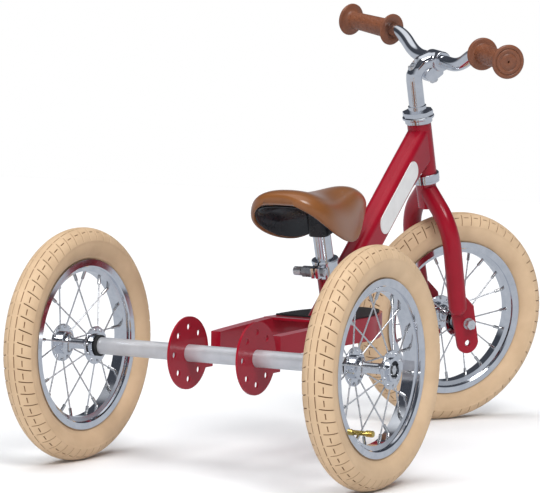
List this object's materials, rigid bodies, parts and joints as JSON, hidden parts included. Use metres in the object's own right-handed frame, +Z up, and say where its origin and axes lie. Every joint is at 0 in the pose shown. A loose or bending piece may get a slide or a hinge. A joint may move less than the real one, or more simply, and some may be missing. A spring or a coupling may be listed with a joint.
{
  "type": "children's tricycle",
  "caption": "Child's ride-on tricycle with spoked balloon-tyre wheels, a steering fork with a rise handlebar, a low footboard frame and a height-adjustable saddle",
  "frame": {"origin": "on the ground, in the middle of the overall box, with the fork steered to the right as stored", "axes": "+X forward, +Y to the rider's left, +Z up"},
  "size_m": [0.8846, 0.494, 0.5894],
  "materials": {
    "red_paint": "deep red gloss enamel over steel",
    "chrome": "bright chrome plate",
    "steel": "plain bright steel",
    "aluminium": "satin aluminium",
    "brass": "yellow brass",
    "tyre": "cream rubber with a moulded tread",
    "black_rubber": "black rubber",
    "grip_rubber": "brown moulded rubber",
    "saddle_leather": "glossy brown imitation leather",
    "black_plastic": "black moulded plastic",
    "badge_plate": "plain silver-grey plate"
  },
  "bodies": {
    "frame": {"head_tube": "red_paint", "down_tube": "red_paint", "seat_tube": "red_paint", "base_rail": "red_paint", "rear_dropouts": "red_paint", "footboard": "red_paint", "footboard_grip": "black_rubber", "badge": "badge_plate", "headset_cups": "chrome", "headset_bearings": "steel", "axle_disc_left": "red_paint", "axle_disc_right": "red_paint", "rear_axle_tube": "aluminium", "rear_axle_rod": "steel", "rear_axle_bolts": "steel", "seat_clamp": "chrome", "seat_clamp_bolt": "steel"},
    "seat": {"seat_post": "chrome", "saddle_base": "black_plastic", "saddle_cover": "saddle_leather"},
    "fork": {"fork_steerer": "steel", "fork_left_blade": "red_paint", "fork_right_blade": "red_paint", "crown_race": "chrome", "headset_nuts": "chrome", "front_axle": "steel", "front_axle_bolts": "steel", "front_axle_spacers": "black_plastic"},
    "stem": {"stem": "chrome", "stem_bolt": "steel", "stem_wedge": "steel", "stem_clamp_bolt": "steel"},
    "bar": {"handlebar": "chrome", "grip_left": "grip_rubber", "grip_right": "grip_rubber"},
    "front_wheel": {"front_tyre": "tyre", "front_inner_tube": "black_rubber", "front_rim": "chrome", "front_spokes": "steel", "front_nipples": "brass", "front_hub": "chrome", "front_bearings": "steel", "front_valve": "brass"},
    "rear_left_wheel": {"rear_left_tyre": "tyre", "rear_left_inner_tube": "black_rubber", "rear_left_rim": "chrome", "rear_left_spokes": "steel", "rear_left_nipples": "brass", "rear_left_hub": "chrome", "rear_left_bearings": "steel", "rear_left_valve": "brass"},
    "rear_right_wheel": {"rear_right_tyre": "tyre", "rear_right_inner_tube": "black_rubber", "rear_right_rim": "chrome", "rear_right_spokes": "steel", "rear_right_nipples": "brass", "rear_right_hub": "chrome", "rear_right_bearings": "steel", "rear_right_valve": "brass"}
  },
  "joints": [
    {"name": "steering", "type": "hinge", "parent": "frame", "child": "fork", "pos_m": [0.23207, 0, 0.38637], "axis": [-0.2588, 0, 0.9659], "range_deg": [-60.2, 119.8]},
    {"name": "front_wheel_spin", "type": "hinge", "parent": "fork", "child": "front_wheel", "pos_m": [0.30854, -0.00711, 0.14892], "axis": [0.48, 0.8678, 0.1286], "continuous": true},
    {"name": "rear_left_wheel_spin", "type": "hinge", "parent": "frame", "child": "rear_left_wheel", "pos_m": [-0.292, 0.216, 0.15], "axis": [0, 1, 0], "continuous": true},
    {"name": "rear_right_wheel_spin", "type": "hinge", "parent": "frame", "child": "rear_right_wheel", "pos_m": [-0.292, -0.216, 0.15], "axis": [0, 1, 0], "continuous": true},
    {"name": "stem_height", "type": "slide", "parent": "fork", "child": "stem", "axis": [-0.2588, 0, 0.9659], "range_m": [-0.025, 0.02]},
    {"name": "handlebar_tilt", "type": "hinge", "parent": "stem", "child": "bar", "pos_m": [0.23435, -0.01998, 0.51266], "axis": [0.48, 0.8678, 0.1286], "range_deg": [-30, 30]},
    {"name": "seat_height", "type": "slide", "parent": "frame", "child": "seat", "axis": [-0.2756, 0, 0.9613], "range_m": [-0.018, 0.04]}
  ]
}
